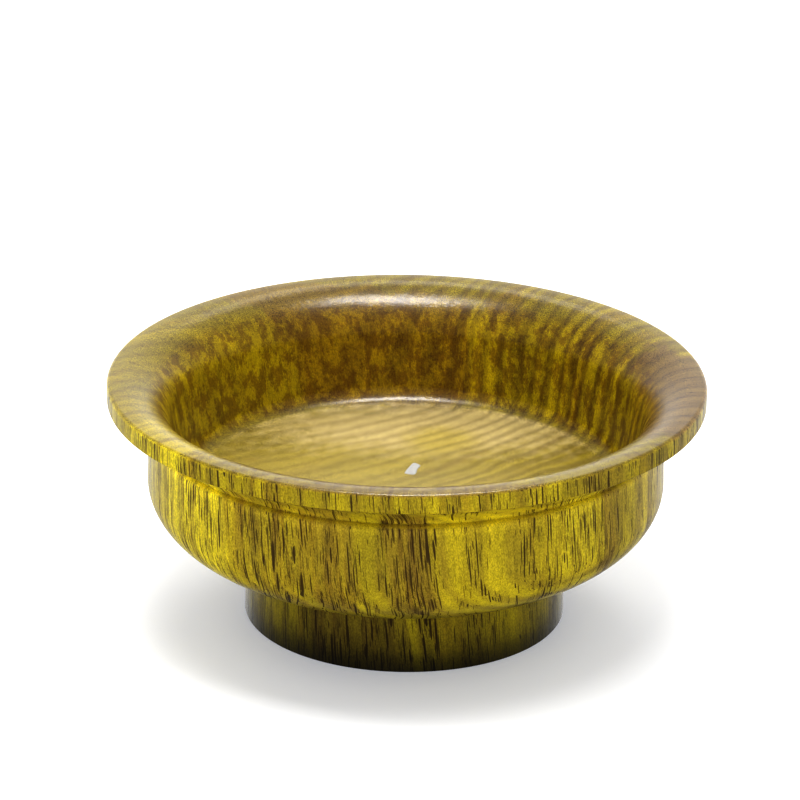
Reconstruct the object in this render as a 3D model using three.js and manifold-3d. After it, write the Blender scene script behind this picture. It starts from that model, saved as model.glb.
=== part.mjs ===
// A turned wooden shaving bowl. Millimetres, +Z up, origin at the centre of the foot's underside.
//
// The bowl is one block of wood, turned on a lathe: a ring foot, a rounded belly, a flared rim
// that rolls over into a shallow round well with a flat floor. A small pale patch of wood filler
// sits flush in a pocket in that floor, a little behind the centre.

import * as THREE from 'three';
import { mergeVertices } from 'three/addons/utils/BufferGeometryUtils.js';
import Module from 'manifold-3d';

// Overall size
const RIM_RADIUS = 65;
const HEIGHT = 54;
const TURN_SEGMENTS = 72;

// Foot: a slightly flared ring with a shallow recess under it
const FOOT_RADIUS = 35.1;
const FOOT_TOP_RADIUS = 34.8;
const FOOT_EDGE = 0.4;
const RECESS_RADIUS = 28;
const RECESS_DEPTH = 3;
const RECESS_EDGE = 1;

// Belly: a quarter ellipse that rises from the foot to the widest part of the body
const BELLY_RADIUS = 56.3;
const BELLY_ACROSS = 35.9;
const BELLY_DOWN = 19.5;
const BELLY_HEIGHT = 31.4;

// Shoulder: the body's side ends in a small bead, with a neck above it
const SHOULDER_HEIGHT = 41.7;
const SHOULDER_RADIUS = 56;
const BEAD = 1.6;
const BEAD_SWEEP = 70;

// Rim: a flange with a hollowed underside
const RIM_LIP_UNDER_HEIGHT = 49.6;
const RIM_LIP_UNDER_RADIUS = 64.5;
const RIM_UNDER_EDGE = 0.5;
const RIM_TOP_EDGE = 1;
const UNDERCUT_BEND = [58.2, 47];

// Well: the rim rolls inwards, then a steep wall drops to a flat floor
const ROLL = 12;
const ROLL_CENTRE_RADIUS = 63.1;
const WALL_ANGLE = 80;
const COVE = 4.5;
const FLOOR_HEIGHT = 29;

// Filler patch: an irregular outline in plan, set flush in its pocket
const FILLER_OUTLINE = [[0, 5.9], [2, 5.6], [2.6, 8.6], [3.2, 10.6], [1.8, 12.2], [0.8, 10], [-0.2, 6.8]];
const FILLER_THICKNESS = 1.2;
const FILLER_GAP = 0.3;
const FILLER_CORNER_STEPS = 2;

const MERGE_DISTANCE = 1e-4;

const radians = THREE.MathUtils.degToRad;

// Points on an arc of an ellipse in the profile's plane, angles in degrees from the outward axis.
function arc(centreRadius, centreHeight, across, up, from, to, steps) {
  const points = [];
  for (let i = 0; i <= steps; i += 1) {
    const angle = radians(from + (to - from) * (i / steps));
    points.push(new THREE.Vector2(
      centreRadius + across * Math.cos(angle),
      centreHeight + up * Math.sin(angle),
    ));
  }
  return points;
}

// The foot, from the recess under it to its meeting with the belly.
function footProfile() {
  return [
    new THREE.Vector2(0, RECESS_DEPTH),
    ...arc(RECESS_RADIUS - RECESS_EDGE, RECESS_DEPTH - RECESS_EDGE, RECESS_EDGE, RECESS_EDGE, 90, 0, 2),
    new THREE.Vector2(RECESS_RADIUS, 0),
    ...arc(FOOT_RADIUS - FOOT_EDGE, FOOT_EDGE, FOOT_EDGE, FOOT_EDGE, -90, 0, 2),
  ];
}

// The belly starts where the ellipse passes the top of the foot.
function bellyProfile() {
  const centreRadius = BELLY_RADIUS - BELLY_ACROSS;
  const start = -THREE.MathUtils.radToDeg(Math.acos((FOOT_TOP_RADIUS - centreRadius) / BELLY_ACROSS));
  return arc(centreRadius, BELLY_HEIGHT, BELLY_ACROSS, BELLY_DOWN, start, 0, 12);
}

// The bead on the shoulder, then the curved underside of the rim.
function shoulderProfile() {
  const bead = arc(SHOULDER_RADIUS - BEAD, SHOULDER_HEIGHT, BEAD, BEAD, 0, BEAD_SWEEP, 3);
  const undercut = new THREE.QuadraticBezierCurve(
    bead[bead.length - 1],
    new THREE.Vector2(...UNDERCUT_BEND),
    new THREE.Vector2(RIM_LIP_UNDER_RADIUS, RIM_LIP_UNDER_HEIGHT),
  );
  return [...bead, ...undercut.getPoints(5).slice(1)];
}

// The outer edge of the rim, rounded below and above.
function rimProfile() {
  return [
    new THREE.Vector2(RIM_RADIUS, RIM_LIP_UNDER_HEIGHT + RIM_UNDER_EDGE),
    ...arc(RIM_RADIUS - RIM_TOP_EDGE, HEIGHT - RIM_TOP_EDGE, RIM_TOP_EDGE, RIM_TOP_EDGE, 0, 90, 3),
  ];
}

// The well: the rolled lip, the steep wall, the cove and the floor.
function wellProfile() {
  const rollEnd = 90 + WALL_ANGLE;
  const roll = arc(ROLL_CENTRE_RADIUS, HEIGHT - ROLL, ROLL, ROLL, 90, rollEnd, 9);
  const wallTop = roll[roll.length - 1];
  const coveTopHeight = FLOOR_HEIGHT + COVE * (1 - Math.cos(radians(WALL_ANGLE)));
  const coveTopRadius = wallTop.x - (wallTop.y - coveTopHeight) / Math.tan(radians(WALL_ANGLE));
  const coveCentreRadius = coveTopRadius - COVE * Math.sin(radians(WALL_ANGLE));
  const cove = arc(coveCentreRadius, FLOOR_HEIGHT + COVE, COVE, COVE, WALL_ANGLE - 90, -90, 5);
  return [...roll, ...cove, new THREE.Vector2(0, FLOOR_HEIGHT)];
}

// The lathe turns its profile about Y, so the result is stood up along Z.
function turned(profile) {
  const geometry = new THREE.LatheGeometry(profile, TURN_SEGMENTS);
  geometry.rotateX(Math.PI / 2);
  return geometry;
}

// The filler's outline with its corners rounded, grown outwards from its middle by a margin.
function fillerShape(margin) {
  const corners = FILLER_OUTLINE.map(([x, y]) => new THREE.Vector2(x, y));
  const middle = corners.reduce((sum, corner) => sum.add(corner), new THREE.Vector2());
  middle.divideScalar(corners.length);
  const grown = corners.map((corner) => {
    const outward = corner.clone().sub(middle);
    return corner.clone().add(outward.setLength(margin));
  });
  const edge = new THREE.CatmullRomCurve3(grown.map(({ x, y }) => new THREE.Vector3(x, y, 0)), true);
  const points = edge.getPoints(grown.length * FILLER_CORNER_STEPS).slice(0, -1);
  return new THREE.Shape(points.map(({ x, y }) => new THREE.Vector2(x, y)));
}

// A flat slab of the filler's outline, from one height up to another.
function fillerSlab(margin, low, high) {
  const slab = new THREE.ExtrudeGeometry(fillerShape(margin), { depth: high - low, bevelEnabled: false });
  slab.translate(0, 0, low);
  return slab;
}

const wasm = await Module();
wasm.setup();

// A closed mesh as a manifold solid.
function toSolid(geometry) {
  const bare = geometry.clone();
  bare.deleteAttribute('normal');
  bare.deleteAttribute('uv');
  const merged = mergeVertices(bare, MERGE_DISTANCE);
  return new wasm.Manifold(new wasm.Mesh({
    numProp: 3,
    vertProperties: new Float32Array(merged.attributes.position.array),
    triVerts: new Uint32Array(merged.index.array),
  }));
}

// A manifold solid as a mesh geometry.
function toGeometry(solid) {
  const mesh = solid.getMesh();
  const geometry = new THREE.BufferGeometry();
  geometry.setAttribute('position', new THREE.BufferAttribute(mesh.vertProperties, 3));
  geometry.setIndex(new THREE.BufferAttribute(mesh.triVerts, 1));
  geometry.computeVertexNormals();
  return geometry;
}

// The whole turned block, with the filler's pocket cut into the floor.
function bowlBody() {
  const profile = [
    ...footProfile(),
    ...bellyProfile(),
    ...shoulderProfile(),
    ...rimProfile(),
    ...wellProfile(),
  ];
  const pocketFloor = FLOOR_HEIGHT - FILLER_THICKNESS - FILLER_GAP;
  const pocket = fillerSlab(FILLER_GAP, pocketFloor, FLOOR_HEIGHT + FILLER_THICKNESS);
  const body = toSolid(turned(profile)).subtract(toSolid(pocket));
  const wood = new THREE.MeshStandardMaterial({ color: 0xa8911f, roughness: 0.42, metalness: 0 });
  const mesh = new THREE.Mesh(toGeometry(body), wood);
  mesh.name = 'bowl_body';
  return mesh;
}

// The patch of pale filler, flush with the floor.
function floorFiller() {
  const slab = fillerSlab(0, FLOOR_HEIGHT - FILLER_THICKNESS, FLOOR_HEIGHT);
  const paste = new THREE.MeshStandardMaterial({ color: 0xe4e2de, roughness: 0.6, metalness: 0 });
  const mesh = new THREE.Mesh(slab, paste);
  mesh.name = 'floor_filler';
  return mesh;
}

const bowl = new THREE.Group();
bowl.add(bowlBody(), floorFiller());

export default bowl;
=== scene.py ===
"""A turned wooden shaving bowl, standing on a plain pale floor in soft studio light.

The bowl is one block of wood, so it is one lathe mesh, far finer than its CAD node and drawn from the
same dimensions. Its material is a solid one: growth rings, fibres and colour bands are laid out in the
block itself, with the fibres along +Z, and the turned surfaces cut through them. Pores are dots in the
block where a surface crosses the fibres, and upright lines spaced around the bowl on its steep sides.
Lengths are in millimetres until a mesh or a lamp is made, and MM turns them into Blender's metres.
"""

import math

import bpy
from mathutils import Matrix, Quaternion, Vector


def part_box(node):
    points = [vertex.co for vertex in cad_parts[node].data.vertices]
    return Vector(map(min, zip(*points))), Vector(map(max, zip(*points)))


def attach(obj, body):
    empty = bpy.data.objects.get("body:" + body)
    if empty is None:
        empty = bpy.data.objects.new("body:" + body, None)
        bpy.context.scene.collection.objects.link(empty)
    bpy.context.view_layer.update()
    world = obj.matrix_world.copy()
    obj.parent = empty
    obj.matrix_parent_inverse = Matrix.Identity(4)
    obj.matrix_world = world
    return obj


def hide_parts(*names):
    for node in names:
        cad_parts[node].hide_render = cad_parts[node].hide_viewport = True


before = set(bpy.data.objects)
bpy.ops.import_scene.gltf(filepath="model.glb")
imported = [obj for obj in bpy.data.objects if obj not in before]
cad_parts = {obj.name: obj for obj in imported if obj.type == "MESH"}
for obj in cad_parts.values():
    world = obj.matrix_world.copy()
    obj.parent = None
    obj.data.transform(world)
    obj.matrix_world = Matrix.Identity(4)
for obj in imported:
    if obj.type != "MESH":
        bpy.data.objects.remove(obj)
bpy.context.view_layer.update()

MM = 0.001
BODY = "root"
BOWL_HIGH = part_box("bowl_body")[1]
FILLER_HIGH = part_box("floor_filler")[1]

# The turned profile, as in the CAD model.
RIM_RADIUS = BOWL_HIGH.x / MM
HEIGHT = BOWL_HIGH.z / MM
FLOOR_HEIGHT = FILLER_HIGH.z / MM
FOOT_RADIUS = 35.1
FOOT_TOP_RADIUS = 34.8
FOOT_EDGE = 0.5
FOOT_FILLET = 0.5
RECESS_RADIUS = 28
RECESS_DEPTH = 3
RECESS_EDGE = 1
BELLY_RADIUS = 56.3
BELLY_ACROSS = 35.9
BELLY_DOWN = 19.5
BELLY_HEIGHT = 31.4
SHOULDER_RADIUS = 56
SHOULDER_HEIGHT = 41.7
BEAD = 1.6
BEAD_SWEEP = 70
UNDERCUT_BEND = (58.2, 47)
UNDERCUT_STEPS = 24
RIM_UNDER_RADIUS = 64.5
RIM_UNDER_HEIGHT = 49.6
RIM_UNDER_EDGE = 0.5
RIM_TOP_EDGE = 1
ROLL = 12
ROLL_CENTRE_RADIUS = 63.1
WALL_ANGLE = 80
COVE = 4.5
TURN_STEPS = 360


# ---------------------------------------------------------------- camera, lights and floor

CAMERA_DISTANCE = 1040
CAMERA_ELEVATION = 21.61
CAMERA_ROLL = 0.71
CAMERA_LENS = 216.05
CAMERA_AIM = Vector((-1.45, -1.78, HEIGHT - 4.48))
OVERHEAD_POWER = 10
GLINT_POWER = 32
REAR_POWER = 3.5
TENT_STRENGTH = 1.0
BACKDROP_STRENGTH = 2.2
BACKDROP_SPAN = (0.2, 0.9)
BELOW_SHARE = 0.1
HORIZON_SPAN = (-0.75, -0.03)
PRINT_GAMMA = 0.72
FLOOR_HALF = 12000
FLOOR_GREY = (0.6, 0.6, 0.6, 1)
FLOOR_GLOW = (0.87, 0.9, 1, 1)
FLOOR_GLOW_STRENGTH = 0.38


def make_camera():
    """A long lens, level with the upper half of the bowl and a little off its middle."""
    data = bpy.data.cameras.new("camera")
    data.lens = CAMERA_LENS
    camera = bpy.data.objects.new("camera", data)
    bpy.context.collection.objects.link(camera)
    elevation = math.radians(CAMERA_ELEVATION)
    back = Vector((0, -math.cos(elevation), math.sin(elevation)))
    camera.location = (Vector((0, 0, HEIGHT)) + back * CAMERA_DISTANCE) * MM
    look = (CAMERA_AIM * MM - camera.location).to_track_quat("-Z", "Y")
    camera.rotation_mode = "QUATERNION"
    camera.rotation_quaternion = look @ Quaternion((0, 0, 1), math.radians(CAMERA_ROLL))
    bpy.context.scene.camera = camera


def softbox(name, place, aim, width, depth, power):
    """A rectangular lamp at a place, turned towards a point, in millimetres."""
    data = bpy.data.lights.new(name, "AREA")
    data.shape = "RECTANGLE"
    data.size = width * MM
    data.size_y = depth * MM
    data.energy = power
    lamp = bpy.data.objects.new(name, data)
    bpy.context.collection.objects.link(lamp)
    lamp.location = Vector(place) * MM
    lamp.rotation_euler = (Vector(aim) - Vector(place)).to_track_quat("-Z", "Y").to_euler()
    return lamp


def soft_ramp(tree, value, span, low, high):
    """A soft step in a node tree: value over the span becomes low to high."""
    ramp = tree.nodes.new("ShaderNodeMapRange")
    ramp.interpolation_type = "SMOOTHSTEP"
    tree.links.new(value, ramp.inputs["Value"])
    ramp.inputs["From Min"].default_value = span[0]
    ramp.inputs["From Max"].default_value = span[1]
    ramp.inputs["To Min"].default_value = low
    ramp.inputs["To Max"].default_value = high
    return ramp.outputs["Result"]


def make_tent():
    """The white surroundings, with a strength that goes by direction."""
    world = bpy.data.worlds.new("white_tent")
    world.use_nodes = True
    tree = world.node_tree
    split = tree.nodes.new("ShaderNodeSeparateXYZ")
    tree.links.new(tree.nodes.new("ShaderNodeTexCoord").outputs["Generated"], split.inputs[0])
    lit = tree.nodes.new("ShaderNodeMath")
    lit.operation = "MULTIPLY"
    behind = soft_ramp(tree, split.outputs["Y"], BACKDROP_SPAN, TENT_STRENGTH, BACKDROP_STRENGTH)
    above = soft_ramp(tree, split.outputs["Z"], HORIZON_SPAN, BELOW_SHARE, 1)
    tree.links.new(behind, lit.inputs[0])
    tree.links.new(above, lit.inputs[1])
    background = tree.nodes["Background"]
    tree.links.new(lit.outputs[0], background.inputs["Strength"])
    background.inputs["Color"].default_value = (1, 1, 1, 1)
    return world


def make_lights():
    """Three softboxes and a white tent.

    One softbox overhead lights the bowl, one beside it only gives highlights, and a weaker one stands
    behind. The tent is brightest behind the bowl and dim below the horizon, so that the underside of the
    belly reflects little.
    """
    rim = (0, 0, HEIGHT)
    softbox("overhead_softbox", (-60, -110, 1050), rim, 600, 290, OVERHEAD_POWER)
    glint = softbox("overhead_glint", (70, -110, 1040), rim, 600, 290, GLINT_POWER)
    glint.visible_diffuse = False
    softbox("rear_softbox", (40, 760, 860), rim, 520, 240, REAR_POWER)
    scene = bpy.context.scene
    scene.world = make_tent()
    scene.view_settings.view_transform = "Standard"
    scene.view_settings.look = "None"
    scene.view_settings.gamma = PRINT_GAMMA


def make_floor():
    """A plain white floor, wide enough to fill every view, that glows a little and isn't reflected."""
    half = FLOOR_HALF * MM
    mesh = bpy.data.meshes.new("floor")
    corners = [(-half, -half, 0), (half, -half, 0), (half, half, 0), (-half, half, 0)]
    mesh.from_pydata(corners, [], [(0, 1, 2, 3)])
    floor = bpy.data.objects.new("floor", mesh)
    bpy.context.collection.objects.link(floor)
    paint = bpy.data.materials.new("white_floor")
    paint.use_nodes = True
    shader = paint.node_tree.nodes["Principled BSDF"]
    shader.inputs["Base Color"].default_value = FLOOR_GREY
    shader.inputs["Emission Color"].default_value = FLOOR_GLOW
    shader.inputs["Emission Strength"].default_value = FLOOR_GLOW_STRENGTH
    shader.inputs["Roughness"].default_value = 0.9
    shader.inputs["Specular IOR Level"].default_value = 0.1
    mesh.materials.append(paint)
    floor.visible_glossy = False


# ---------------------------------------------------------------- the turned shape


def arc(centre_radius, centre_height, across, up, start, end, steps):
    """Points on an arc of an ellipse in the profile's plane, angles in degrees."""
    points = []
    for i in range(steps + 1):
        angle = math.radians(start + (end - start) * i / steps)
        radius = centre_radius + across * math.cos(angle)
        points.append((radius, centre_height + up * math.sin(angle)))
    return points


def foot_profile():
    """The recess under the foot, the ring it stands on and its outer side."""
    recess_height = RECESS_DEPTH - RECESS_EDGE
    recess = arc(RECESS_RADIUS - RECESS_EDGE, recess_height, RECESS_EDGE, RECESS_EDGE, 90, 0, 8)
    inner_edge = arc(RECESS_RADIUS + FOOT_EDGE, FOOT_EDGE, FOOT_EDGE, FOOT_EDGE, 180, 270, 6)
    outer_edge = arc(FOOT_RADIUS - FOOT_EDGE, FOOT_EDGE, FOOT_EDGE, FOOT_EDGE, -90, 0, 8)
    return [(0, RECESS_DEPTH), (RECESS_RADIUS / 2, RECESS_DEPTH), *recess, *inner_edge, *outer_edge]


def belly_profile():
    """A small fillet out of the foot, then the belly's quarter ellipse."""
    centre = BELLY_RADIUS - BELLY_ACROSS
    start = -math.degrees(math.acos((FOOT_TOP_RADIUS + FOOT_FILLET - centre) / BELLY_ACROSS))
    belly = arc(centre, BELLY_HEIGHT, BELLY_ACROSS, BELLY_DOWN, start, 0, 60)
    fillet = (FOOT_TOP_RADIUS + 0.1, belly[0][1] - FOOT_FILLET)
    return [fillet, *belly]


def shoulder_profile():
    """The bead at the top of the side, then the curved underside of the rim."""
    bead = arc(SHOULDER_RADIUS - BEAD, SHOULDER_HEIGHT, BEAD, BEAD, 0, BEAD_SWEEP, 12)
    corners = (bead[-1], UNDERCUT_BEND, (RIM_UNDER_RADIUS, RIM_UNDER_HEIGHT))
    undercut = []
    for i in range(1, UNDERCUT_STEPS + 1):
        t = i / UNDERCUT_STEPS
        weights = ((1 - t) ** 2, 2 * t * (1 - t), t**2)
        radius = sum(weight * corner[0] for weight, corner in zip(weights, corners))
        height = sum(weight * corner[1] for weight, corner in zip(weights, corners))
        undercut.append((radius, height))
    return [*bead, *undercut]


def rim_profile():
    """The outer edge of the rim, rounded below and above."""
    under_height = RIM_UNDER_HEIGHT + RIM_UNDER_EDGE
    under = arc(RIM_RADIUS - RIM_UNDER_EDGE, under_height, RIM_UNDER_EDGE, RIM_UNDER_EDGE, -70, 0, 5)
    edge_height = HEIGHT - RIM_TOP_EDGE
    over = arc(RIM_RADIUS - RIM_TOP_EDGE, edge_height, RIM_TOP_EDGE, RIM_TOP_EDGE, 0, 90, 12)
    return [*under, *over]


def well_profile():
    """The rolled lip, the steep wall, the cove and the flat floor."""
    roll = arc(ROLL_CENTRE_RADIUS, HEIGHT - ROLL, ROLL, ROLL, 90, 90 + WALL_ANGLE, 60)
    slope = math.radians(WALL_ANGLE)
    wall_top = roll[-1]
    cove_top_height = FLOOR_HEIGHT + COVE * (1 - math.cos(slope))
    cove_top_radius = wall_top[0] - (wall_top[1] - cove_top_height) / math.tan(slope)
    cove_centre = cove_top_radius - COVE * math.sin(slope)
    cove = arc(cove_centre, FLOOR_HEIGHT + COVE, COVE, COVE, WALL_ANGLE - 90, -90, 24)
    return [*roll, *cove, (cove_centre / 2, FLOOR_HEIGHT), (0, FLOOR_HEIGHT)]


def lathe(name, profile, steps):
    """A closed mesh of revolution about Z. The profile starts and ends on the axis."""
    ring_count = len(profile) - 2
    vertices = [(0, 0, profile[0][1] * MM)]
    for radius, height in profile[1:-1]:
        for i in range(steps):
            angle = 2 * math.pi * i / steps
            vertices.append((radius * MM * math.cos(angle), radius * MM * math.sin(angle), height * MM))
    vertices.append((0, 0, profile[-1][1] * MM))
    last = len(vertices) - 1
    faces = []
    for i in range(steps):
        j = (i + 1) % steps
        faces.append((0, 1 + j, 1 + i))
        for ring in range(ring_count - 1):
            low = 1 + ring * steps
            high = low + steps
            faces.append((low + i, low + j, high + j, high + i))
        top = 1 + (ring_count - 1) * steps
        faces.append((top + i, top + j, last))
    mesh = bpy.data.meshes.new(name)
    mesh.from_pydata(vertices, [], faces)
    mesh.polygons.foreach_set("use_smooth", [True] * len(faces))
    mesh.update()
    piece = bpy.data.objects.new(name, mesh)
    bpy.context.collection.objects.link(piece)
    return piece


# ---------------------------------------------------------------- material helpers


class Graph:
    """A material's node tree, with short calls for the nodes that the materials use."""

    def __init__(self, name):
        self.material = bpy.data.materials.new(name)
        self.material.use_nodes = True
        self.tree = self.material.node_tree
        self.shader = self.tree.nodes["Principled BSDF"]

    def node(self, kind, inputs=None, **settings):
        """A new node, with its settings and its inputs given by name or number."""
        made = self.tree.nodes.new(kind)
        for key, value in settings.items():
            setattr(made, key, value)
        for key, value in (inputs or {}).items():
            self.put(value, made.inputs[key])
        return made

    def put(self, value, socket):
        """Links a socket to another one, or sets it to a number or a tuple."""
        if isinstance(value, bpy.types.NodeSocket):
            self.tree.links.new(value, socket)
        else:
            socket.default_value = value

    def math(self, operation, *values, clamp=False):
        """One arithmetic step."""
        made = self.node("ShaderNodeMath", dict(enumerate(values)), operation=operation, use_clamp=clamp)
        return made.outputs[0]

    def product(self, *values):
        """All the numbers multiplied together."""
        result = values[0]
        for value in values[1:]:
            result = self.math("MULTIPLY", result, value)
        return result

    def total(self, *values):
        """All the numbers added together."""
        result = values[0]
        for value in values[1:]:
            result = self.math("ADD", result, value)
        return result

    def vector(self, operation, *values):
        """One vector step."""
        return self.node("ShaderNodeVectorMath", dict(enumerate(values)), operation=operation).outputs[0]

    def scaled(self, vector, x, y, z):
        """A vector with each axis scaled on its own."""
        return self.vector("MULTIPLY", vector, (x, y, z))

    def split(self, vector):
        """The three parts of a vector."""
        return self.node("ShaderNodeSeparateXYZ", {0: vector}).outputs[:]

    def join(self, x, y, z):
        """A vector of three parts."""
        return self.node("ShaderNodeCombineXYZ", {0: x, 1: y, 2: z}).outputs[0]

    def noise(self, vector, scale, detail=2.0, roughness=0.5):
        """Smooth noise from about 0 to 1."""
        inputs = {"Vector": vector, "Scale": scale, "Detail": detail, "Roughness": roughness}
        return self.node("ShaderNodeTexNoise", inputs).outputs["Fac"]

    def spread(self, value, low, high, to_low=0.0, to_high=1.0):
        """A soft step: value from low to high becomes to_low to to_high."""
        inputs = {"Value": value, "From Min": low, "From Max": high, "To Min": to_low, "To Max": to_high}
        made = self.node("ShaderNodeMapRange", inputs, interpolation_type="SMOOTHSTEP")
        return made.outputs["Result"]

    def mix(self, factor, first, second, blend="MIX"):
        """Two colours mixed by a factor."""
        inputs = {0: factor, 6: first, 7: second}
        made = self.node("ShaderNodeMix", inputs, data_type="RGBA", blend_type=blend, clamp_factor=True)
        return made.outputs[2]

    def shaded(self, colour, amount):
        """A colour made lighter or darker by one number."""
        return self.mix(1.0, colour, self.join(amount, amount, amount), "MULTIPLY")

    def bump(self, height, strength, distance):
        """A normal tilted by a height, over a distance in millimetres."""
        inputs = {"Height": height, "Strength": strength, "Distance": distance * MM}
        return self.node("ShaderNodeBump", inputs).outputs[0]

    def curve(self, value, points):
        """A smooth curve through a few (input, output) points, in order of their inputs."""
        low = points[0][0]
        high = points[-1][0]
        share = self.math("DIVIDE", self.math("SUBTRACT", value, low), high - low)
        made = self.node("ShaderNodeFloatCurve", {"Value": share})
        made.mapping.use_clip = False
        line = made.mapping.curves[0]
        bottom = min(y for _, y in points)
        top = max(y for _, y in points)
        places = [((x - low) / (high - low), (y - bottom) / (top - bottom)) for x, y in points]
        line.points[0].location = places[0]
        line.points[1].location = places[-1]
        for place in places[1:-1]:
            line.points.new(*place)
        made.mapping.update()
        return self.math("MULTIPLY_ADD", made.outputs[0], top - bottom, bottom)


# ---------------------------------------------------------------- the wood

FIBRE_LEAN = 0.07
WANDER = 6
RING_SPACING = 5.2

# The growth rings' course: how far back one ring lies at each x across the block.
RING_WAVE = [
    (-66, -48), (-50, -35), (-25, -19), (0, -3.5), (15, 8.5), (30, 24), (42, 35), (52, 40.5), (66, 43),
]

# Linear colours of the wood under its lacquer, and of the painted shade and sheen laid over it.
OLIVE = (0.27, 0.215, 0.012, 1)
LEMON = (0.46, 0.37, 0.012, 1)
BRIGHT_LEMON = (0.62, 0.52, 0.02, 1)
AMBER = (0.30, 0.19, 0.012, 1)
BROWN = (0.2, 0.125, 0.02, 1)
UMBER = (0.12, 0.072, 0.018, 1)
TAN = (0.26, 0.168, 0.04, 1)
# Paler end grain on the floor, with a painted sheen over it.
PALE_GRAIN_AND_SHEEN = (0.72, 0.62, 0.18, 1)
# A painted sheen: the milky reflection at the back of the floor.
PAINTED_SHEEN = (0.95, 0.82, 0.4, 1)
STREAK = (0.55, 0.44, 0.6, 1)
PORE = (0.045, 0.024, 0.003, 1)
# Painted shade on the surfaces that face up.
TOP_SHADE = (0.54, 0.51, 0.54, 1)
WALL_PATCH = (0.46, 0.34, 0.22, 1)
# Painted shade on the steep inside wall, which also deepens its colour.
WALL_SHADE_AND_TINT = (0.96, 0.89, 0.1, 1)

# Painted light and shade on the outer side by height: darkest at the foot's bottom, lightest on the bead.
SIDE_LIGHT_AND_SHADE = [
    (0, 0.09), (2.5, 0.22), (6, 0.56), (13, 0.9), (17, 0.9), (24, 1.24),
    (32, 1.24), (40, 1.28), (42.6, 1.58), (46, 1.32), (54, 1.1),
]

# Upright pore lines, in four sizes: offset around the bowl, spacing, width, pitch of the breaks along
# them, how many show where pores crowd, and how dark they are.
LINES = [
    (0, 0.55, 0.3, 13, 0.95, 1.0),
    (130, 0.4, 0.2, 9, 0.75, 0.85),
    (270, 0.3, 0.15, 5, 0.7, 0.7),
    (410, 1.7, 0.5, 16, 0.5, 1.0),
]

# How many breaks one vessel's lengths can be shifted by against the next one's.
STAGGER = 7

# Pore dots: spacing, width, pitch of the breaks along them, share that shows and how dark they are.
DOTS = (0.4, 0.26, 5, 0.5, 0.8)

# Soft zones of the block with their own colour and pores: name, middle x and y, half-widths, turn in
# degrees, the part they show on, colour, how strong it is, and how much it crowds the pores.
ZONES = [
    ("heart_rim", (60, -5), (14, 32), 8, "rim", TAN, 0.95, 0.1),
    ("front_rim", (8, -63), (34, 7), 0, "rim", TAN, 0.55, 0.2),
    ("heart_side", (60, -8), (11, 26), 8, "all", TAN, 0.25, 0.05),
    ("foot_streak", (-10, -31), (20, 7), 15, "all", UMBER, 0.5, 0.15),
    ("rear_streak", (-8, 51), (40, 8), 0, "all", AMBER, 0.7, 0),
    ("lemon_left", (-45, -35), (12, 13), 40, "all", BRIGHT_LEMON, 0.9, 0.05),
    ("lemon_front", (21, -52), (12, 8), 20, "all", LEMON, 0.4, -0.26),
    ("lemon_right", (38, -40), (6, 8), 30, "all", BRIGHT_LEMON, 0.3, 0.0),
    ("lemon_rear", (20, 48), (3, 9), 15, "all", LEMON, 0.9, 0),
    ("lemon_foot", (26, -24), (4, 5), 30, "all", LEMON, 0.9, -0.2),
    ("streaks_left", (-27, -49), (7, 8), 20, "all", BROWN, 0.2, 0.2),
    ("streaks_middle", (-13, -54), (5, 7), 20, "all", BROWN, 0.4, 0.3),
    ("streaks_front", (4, -55), (6, 6), 20, "all", BROWN, 0.5, 0.35),
    ("streaks_right", (44, -33), (2, 6), 30, "all", BROWN, 0.5, 0.2),
    # Paler end grain with a painted sheen over it.
    ("pale_grain_and_sheen_floor", (-3, 2), (46, 44), 0, "floor", PALE_GRAIN_AND_SHEEN, 0.45, -0.5),
    # Painted sheen: the milky reflection at the back of the floor.
    ("painted_sheen_floor", (8, 33), (42, 16), 0, "floor", PAINTED_SHEEN, 0.7, -0.5),
    ("yellow_floor", (10, 26), (8, 8), 0, "floor", BRIGHT_LEMON, 0.5, -0.5),
]

# How soft a zone's edge is, by the part it shows on.
ZONE_SOFTNESS = {"all": 0.2, "rim": 0.2, "floor": 0.5}


def block_coordinates(g):
    """Millimetres in the block, straightened along its leaning fibres and gently wandering."""
    place = g.scaled(g.node("ShaderNodeTexCoord").outputs["Object"], 1 / MM, 1 / MM, 1 / MM)
    x, y, z = g.split(place)
    leaned = g.join(g.math("MULTIPLY_ADD", z, FIBRE_LEAN, x), y, z)
    slow = g.scaled(leaned, 0.05, 0.05, 0.008)
    wander = g.node("ShaderNodeTexNoise", {"Vector": slow, "Scale": 1.0, "Detail": 2.0}).outputs["Color"]
    wander = g.vector("MULTIPLY", g.vector("SUBTRACT", wander, (0.5, 0.5, 0.5)), (WANDER, WANDER, 0))
    return g.vector("ADD", leaned, wander)


def ring_height(g, block):
    """Distance across the growth rings: level lines follow one slow wave over the block."""
    x, y, _ = g.split(block)
    return g.math("SUBTRACT", y, g.curve(x, RING_WAVE))


def zone_mask(g, block, ragged, middle, half, turn, soft):
    """1 inside a soft, ragged oval in plan, 0 elsewhere."""
    x, y, _ = g.split(block)
    dx = g.math("SUBTRACT", x, middle[0])
    dy = g.math("SUBTRACT", y, middle[1])
    cosine = math.cos(math.radians(turn))
    sine = math.sin(math.radians(turn))
    along = g.total(g.product(dx, cosine), g.product(dy, sine))
    aside = g.math("SUBTRACT", g.product(dy, cosine), g.product(dx, sine))
    u = g.math("DIVIDE", along, half[0])
    v = g.math("DIVIDE", aside, half[1])
    reach = g.math("SQRT", g.total(g.product(u, u), g.product(v, v)))
    return g.spread(g.total(reach, ragged), 0.9 - soft, 0.9 + soft, 1.0, 0.0)


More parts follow.
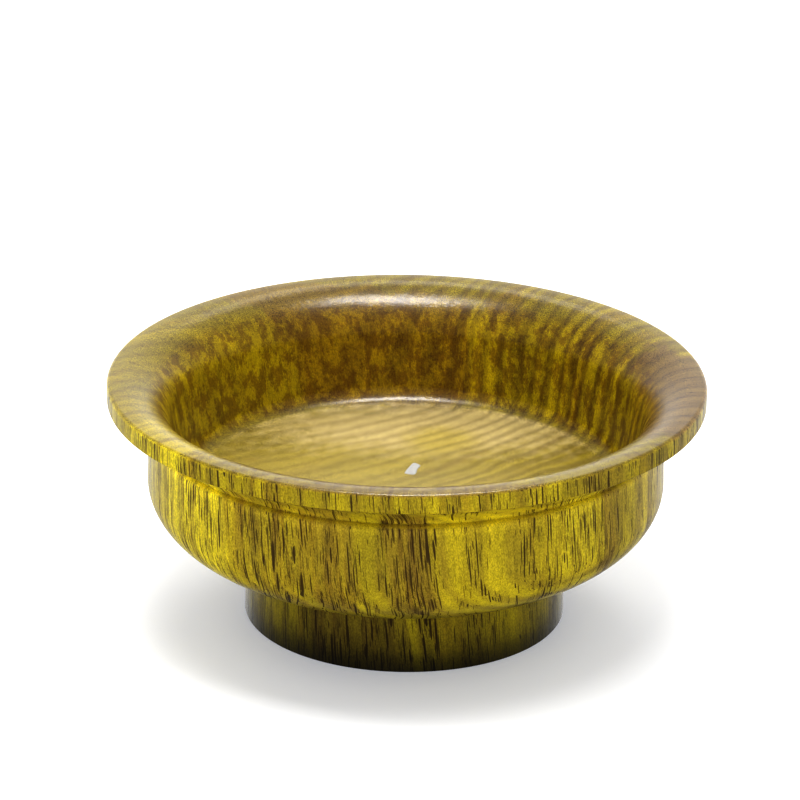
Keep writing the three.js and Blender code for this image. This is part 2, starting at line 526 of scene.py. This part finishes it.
def way_around(g, x, y):
    """Millimetres around the bowl from its front: straight across in front, by angle further round."""
    angle = g.math("ARCTAN2", x, g.product(y, -1.0))
    across = g.math("ARCSINE", g.math("DIVIDE", x, RIM_RADIUS + WANDER))
    front = g.spread(g.math("ABSOLUTE", angle), 0.4, 1.2, 1.0, 0.0)
    angle = g.total(angle, g.product(front, g.math("SUBTRACT", across, angle)))
    return g.product(angle, BELLY_RADIUS)


def broken_vessel(g, distance, place, bore, luck):
    """One vessel in each cell, broken into tapering lengths, with the chance that each length has."""
    step = g.join(luck, g.math("FLOOR", place), 0.0)
    chance = g.split(g.node("ShaderNodeTexWhiteNoise", {"Vector": step}).outputs["Color"])
    half = g.math("MULTIPLY_ADD", chance[1], 0.32, 0.1)
    from_middle = g.math("ABSOLUTE", g.math("SUBTRACT", g.math("FRACT", place), 0.5))
    from_middle = g.math("DIVIDE", from_middle, half)
    taper = g.math("SUBTRACT", 1.0, g.product(from_middle, from_middle), clamp=True)
    bore = g.product(bore, g.math("MULTIPLY_ADD", chance[2], 0.7, 0.65))
    inside = g.math("SUBTRACT", g.product(g.math("SQRT", taper), bore), distance)
    return g.spread(inside, -0.04, 0.06), chance[0]


def pore_lines(g, around, z, cell, width, pitch):
    """Vessels as the steep sides show them: thin upright lines, side by side and of uneven length."""
    found = g.node("ShaderNodeTexVoronoi", {"W": around, "Scale": 1 / cell}, voronoi_dimensions="1D")
    luck = g.split(found.outputs["Color"])[0]
    place = g.total(g.math("DIVIDE", z, pitch), g.product(luck, STAGGER))
    return broken_vessel(g, found.outputs["Distance"], place, width / 2 / cell, luck)


def pore_dots(g, along_ring, across_ring, z, cell, width, pitch):
    """Vessels as they lie in the block, so that surfaces across the fibres show dots."""
    plan = g.join(g.math("DIVIDE", along_ring, cell), g.math("DIVIDE", across_ring, cell), 0.0)
    found = g.node("ShaderNodeTexVoronoi", {"Vector": plan, "Scale": 1.0}, voronoi_dimensions="2D")
    luck = g.split(found.outputs["Color"])[0]
    place = g.total(g.math("DIVIDE", z, pitch), g.product(luck, STAGGER))
    return broken_vessel(g, found.outputs["Distance"], place, width / 2 / cell, luck)


class WoodPlace:
    """Where a point is, as sockets: its place in the block, and the part of the bowl that it is on.

    Lengths are in millimetres. The floor, rim, top, inner and steep parts go from 0 to 1.
    """

    def __init__(self, g):
        self.block = block_coordinates(g)
        self.x, self.y, self.z = g.split(self.block)
        self.across = ring_height(g, self.block)
        self.around = way_around(g, self.x, self.y)

        surface = g.node("ShaderNodeTexCoord").outputs
        real_x, real_y, real_z = g.split(surface["Object"])
        radial = g.vector("NORMALIZE", g.join(real_x, real_y, 0.0))
        dot = g.node("ShaderNodeVectorMath", {0: radial, 1: surface["Normal"]}, operation="DOT_PRODUCT")
        self.inward = g.product(dot.outputs["Value"], -1.0)
        facing_up = g.split(surface["Normal"])[2]
        self.height = g.product(real_z, 1 / MM)

        low_down = g.math("LESS_THAN", self.height, FLOOR_HEIGHT + 2)
        self.floor = g.product(g.spread(facing_up, 0.85, 0.98), low_down)
        self.rim = g.product(g.spread(self.height, HEIGHT - 8, HEIGHT - 4), g.spread(facing_up, 0.1, 0.6))
        on_lip = g.math("GREATER_THAN", self.height, HEIGHT - 4)
        not_outside = g.math("MAXIMUM", g.spread(self.inward, -0.3, -0.05), on_lip)
        self.top = g.product(g.spread(facing_up, 0.4, 0.9), not_outside)
        self.inner = g.spread(self.inward, 0.5, 0.75)
        self.steep = g.product(g.spread(facing_up, 0.35, 0.65, 1.0, 0.0), g.spread(facing_up, -0.97, -0.85))


def banded_colour(g, at):
    """Broad bands that follow the rings, change slowly along them and hardly change along the fibres."""
    along_rings = g.join(at.across, at.x, at.z)
    band = g.noise(g.scaled(along_rings, 0.11, 0.02, 0.006), 1.0, 2.5, 0.55)
    colour = g.mix(g.spread(band, 0.34, 0.66, 0.3, 0.82), OLIVE, LEMON)
    brown_place = g.vector("ADD", g.scaled(along_rings, 0.19, 0.035, 0.008), (31, 7, 3))
    brown = g.spread(g.noise(brown_place, 1.0, 3.0, 0.6), 0.52, 0.72)
    return g.mix(g.product(brown, 0.5), colour, AMBER)


def add_zones(g, at, colour):
    """The colour with the soft zones in it, and how crowded the pores are."""
    crowd = g.noise(g.scaled(g.join(at.x, at.across, at.z), 0.2, 0.32, 0.01), 1.0, 3.0)
    crowd = g.spread(crowd, 0.4, 0.66, 0.12, 0.5)
    ragged = g.noise(g.scaled(at.block, 0.35, 0.35, 0.03), 1.0, 3.0)
    ragged = g.math("MULTIPLY_ADD", ragged, 0.9, -0.45)
    parts = {"floor": at.floor, "rim": at.rim}
    for _, middle, half, turn, part, tint, strength, crowding in ZONES:
        mask = zone_mask(g, at.block, ragged, middle, half, turn, ZONE_SOFTNESS[part])
        if part in parts:
            mask = g.product(mask, parts[part])
        colour = g.mix(g.product(mask, strength), colour, tint)
        crowd = g.math("MULTIPLY_ADD", mask, crowding, crowd)
    return colour, crowd


def add_rings(g, at, colour):
    """The colour with the growth rings in it, and the rings: thin lines that fade slowly on one side."""
    uneven = g.noise(g.scaled(g.join(at.across, at.x, 0.0), 0.3, 0.04, 1), 1.0, 2.0)
    count = g.math("DIVIDE", at.across, RING_SPACING)
    phase = g.math("FRACT", g.total(count, g.product(uneven, 0.8)))
    ring = g.product(g.spread(phase, 0.15, 0.6), g.spread(phase, 0.65, 1.0, 1.0, 0.0))
    boldness = g.spread(g.math("MULTIPLY_ADD", at.y, 0.4, at.x), -20, 60, 0.27, 0.46)
    boldness = g.math("MULTIPLY_ADD", at.inner, g.spread(at.x, 12, 48, 0.0, 0.2), boldness)
    boldness = g.math("MULTIPLY_ADD", at.floor, -0.08, boldness)
    return g.mix(g.product(ring, boldness), colour, UMBER), ring


def add_grain(g, at, colour, fibre, fine):
    """The colour shaded by fibres, cloudier patches, short flecks across them and a fine sharp grain."""
    cloud = g.noise(g.scaled(at.block, 0.3, 0.3, 0.07), 1.0, 3.0, 0.6)
    fleck = g.noise(g.scaled(at.block, 1.1, 1.1, 1.6), 1.0, 2.0, 0.6)
    soft = g.total(
        g.spread(fibre, 0.3, 0.7, -0.16, 0.12),
        g.spread(cloud, 0.32, 0.68, -0.1, 0.08),
        g.spread(fleck, 0.35, 0.65, -0.05, 0.05),
    )
    soft = g.product(soft, g.math("MULTIPLY_ADD", at.top, -0.4, 1.0))
    sharp = g.spread(fine, 0.3, 0.7, -0.26, 0.26)
    sharp = g.product(sharp, g.math("MULTIPLY_ADD", at.top, 1.5, 1.0))
    return g.shaded(colour, g.total(soft, sharp, 1.0))


def add_pores(g, at, colour, crowd):
    """The colour with the pores and the brown streaks among them, and the pores.

    Pores show as upright lines on the steep sides and as dots elsewhere, and are mostly filled with
    lacquer on the top and inside.
    """
    streak = g.noise(g.scaled(g.join(at.around, at.z, 0.0), 0.9, 0.06, 1), 1.0, 4.0, 0.65)
    streak = g.math("MULTIPLY", g.spread(streak, 0.44, 0.6), g.product(crowd, 0.8), clamp=True)
    streak = g.product(streak, g.math("MULTIPLY_ADD", at.inner, -0.8, 1.0))
    colour = g.mix(streak, colour, STREAK, "MULTIPLY")
    lines = 0.0
    for offset, cell, width, pitch, share, depth in LINES:
        line, chance = pore_lines(g, g.total(at.around, offset), at.z, cell, width, pitch)
        shown = g.math("LESS_THAN", chance, g.product(crowd, share))
        lines = g.math("MAXIMUM", lines, g.product(line, shown, depth))
    cell, width, pitch, share, depth = DOTS
    dot, chance = pore_dots(g, at.x, at.across, at.z, cell, width, pitch)
    shown = g.math("LESS_THAN", chance, g.product(crowd, share))
    pore = g.math("MAXIMUM", g.product(lines, at.steep), g.product(dot, shown, depth))
    filled = g.math("MAXIMUM", g.product(at.top, 0.45), g.product(at.inner, 0.85))
    pore = g.product(pore, g.math("SUBTRACT", 1.0, filled))
    return g.mix(g.product(pore, 0.95), colour, PORE), pore


def add_painted_shading(g, at, colour):
    """Mottled patches inside, then painted shade on the inside wall and top, and painted light and shade
    down the outer side.
    """
    patch = g.noise(g.scaled(at.block, 0.34, 0.34, 0.2), 1.0, 6.0, 0.75)
    patch = g.product(g.spread(patch, 0.43, 0.57), at.inner, 0.8)
    colour = g.mix(patch, colour, WALL_PATCH, "MULTIPLY")
    # Painted shade on the surfaces that face up.
    colour = g.mix(at.top, colour, TOP_SHADE, "MULTIPLY")
    # Painted shade on the steep inside wall, which also deepens its colour.
    colour = g.mix(at.inner, colour, WALL_SHADE_AND_TINT, "MULTIPLY")
    # Painted light and shade down the outer side: darkest at the bottom of the foot, lightest on the bead.
    side_shading = g.curve(at.height, SIDE_LIGHT_AND_SHADE)
    outer = g.spread(at.inward, -0.02, -0.3)
    return g.shaded(colour, g.math("MULTIPLY_ADD", outer, g.math("SUBTRACT", side_shading, 1.0), 1.0))


def wood_material():
    """Open-pored wood under a thin lacquer, laid out in the block and cut by the turned surfaces."""
    g = Graph("lacquered_wood")
    at = WoodPlace(g)
    fibre = g.noise(g.scaled(at.block, 2.2, 2.2, 0.12), 1.0, 4.0, 0.7)
    fine = g.noise(g.scaled(at.block, 5, 5, 2), 1.0, 2.0, 0.6)
    ripple = g.noise(g.scaled(at.block, 0.9, 0.9, 0.5), 1.0, 4.0, 0.65)
    colour = banded_colour(g, at)
    colour, crowd = add_zones(g, at, colour)
    colour, ring = add_rings(g, at, colour)
    colour = add_grain(g, at, colour, fibre, fine)
    colour, pore = add_pores(g, at, colour, g.math("MULTIPLY_ADD", ring, 0.15, crowd))
    g.put(add_painted_shading(g, at, colour), g.shader.inputs["Base Color"])

    rough = g.math("MULTIPLY_ADD", fine, 0.2, 0.36)
    g.put(g.math("MULTIPLY_ADD", pore, 0.2, rough), g.shader.inputs["Roughness"])
    g.shader.inputs["Specular IOR Level"].default_value = 0.12
    g.shader.inputs["Coat Weight"].default_value = 0.65
    g.shader.inputs["Coat Roughness"].default_value = 0.1
    g.shader.inputs["Coat IOR"].default_value = 1.24

    relief = g.math("SUBTRACT", g.product(fibre, 0.25), g.product(pore, 0.6))
    g.put(g.bump(relief, 0.35, 0.12), g.shader.inputs["Normal"])
    coat_relief = g.math("MULTIPLY_ADD", relief, 0.4, ripple)
    g.put(g.bump(coat_relief, 0.6, 0.15), g.shader.inputs["Coat Normal"])
    return g.material


def filler_material():
    """Chalky off-white filler with faint mottling."""
    g = Graph("pale_filler")
    place = g.scaled(g.node("ShaderNodeTexCoord").outputs["Object"], 1 / MM, 1 / MM, 1 / MM)
    mottle = g.noise(place, 1.4, 3.0)
    g.put(g.mix(mottle, FILLER_DARK, FILLER_PALE), g.shader.inputs["Base Color"])
    g.put(g.spread(mottle, 0.2, 0.8, 0.45, 0.7), g.shader.inputs["Roughness"])
    g.shader.inputs["Specular IOR Level"].default_value = 0.1
    g.put(g.bump(mottle, 0.4, 0.1), g.shader.inputs["Normal"])
    return g.material


# ---------------------------------------------------------------- the pieces


def make_bowl():
    """The turned block, in place of its CAD node."""
    profile = [*foot_profile(), *belly_profile(), *shoulder_profile(), *rim_profile(), *well_profile()]
    bowl = lathe("turned_bowl", profile, TURN_STEPS)
    bowl.data.materials.append(wood_material())
    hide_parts("bowl_body")
    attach(bowl, BODY)


# The patch in plan: the corners that its smooth outline runs through.
FILLER_OUTLINE = [(0, 5.9), (2, 5.6), (2.6, 8.6), (3.2, 10.6), (1.8, 12.2), (0.8, 10), (-0.2, 6.8)]
FILLER_PROUD = 0.15
FILLER_SUNK = 0.6
FILLER_EDGE_STEPS = 8
FILLER_PALE = (0.43, 0.425, 0.41, 1)
FILLER_DARK = (0.29, 0.285, 0.27, 1)

# The patch's rings from its sunk edge to its top: share of the outline's size, and height over the floor.
FILLER_RINGS = [
    (1.0, -FILLER_SUNK),
    (1.0, 0.0),
    (0.93, 0.7 * FILLER_PROUD),
    (0.75, FILLER_PROUD),
    (0.4, FILLER_PROUD),
]


def closed_curve(corners, steps):
    """A smooth closed line through the corners."""
    points = []
    count = len(corners)
    for i in range(count):
        a, b, c, d = (Vector(corners[(i + k) % count]) for k in (-1, 0, 1, 2))
        for j in range(steps):
            t = j / steps
            doubled = 2 * b + (c - a) * t
            doubled += (2 * a - 5 * b + 4 * c - d) * t**2
            doubled += (3 * b - a - 3 * c + d) * t**3
            points.append(doubled / 2)
    return points


def make_filler():
    """The patch of filler: a low, softly domed slab let into the floor."""
    edge = closed_curve(FILLER_OUTLINE, FILLER_EDGE_STEPS)
    middle = sum(edge, Vector((0, 0))) / len(edge)
    vertices = []
    for share, rise in FILLER_RINGS:
        for point in edge:
            place = middle + (point - middle) * share
            vertices.append((place.x * MM, place.y * MM, (FLOOR_HEIGHT + rise) * MM))
    count = len(edge)
    faces = [tuple(reversed(range(count)))]
    for low in range(0, len(vertices) - count, count):
        for i in range(count):
            j = (i + 1) % count
            faces.append((low + i, low + j, low + count + j, low + count + i))
    faces.append(tuple(range(len(vertices) - count, len(vertices))))
    mesh = bpy.data.meshes.new("filler_patch")
    mesh.from_pydata(vertices, [], faces)
    mesh.polygons.foreach_set("use_smooth", [True] * len(faces))
    mesh.update()
    patch = bpy.data.objects.new("filler_patch", mesh)
    bpy.context.collection.objects.link(patch)
    mesh.materials.append(filler_material())
    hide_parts("floor_filler")
    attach(patch, BODY)


make_camera()
make_lights()
make_floor()
make_bowl()
make_filler()
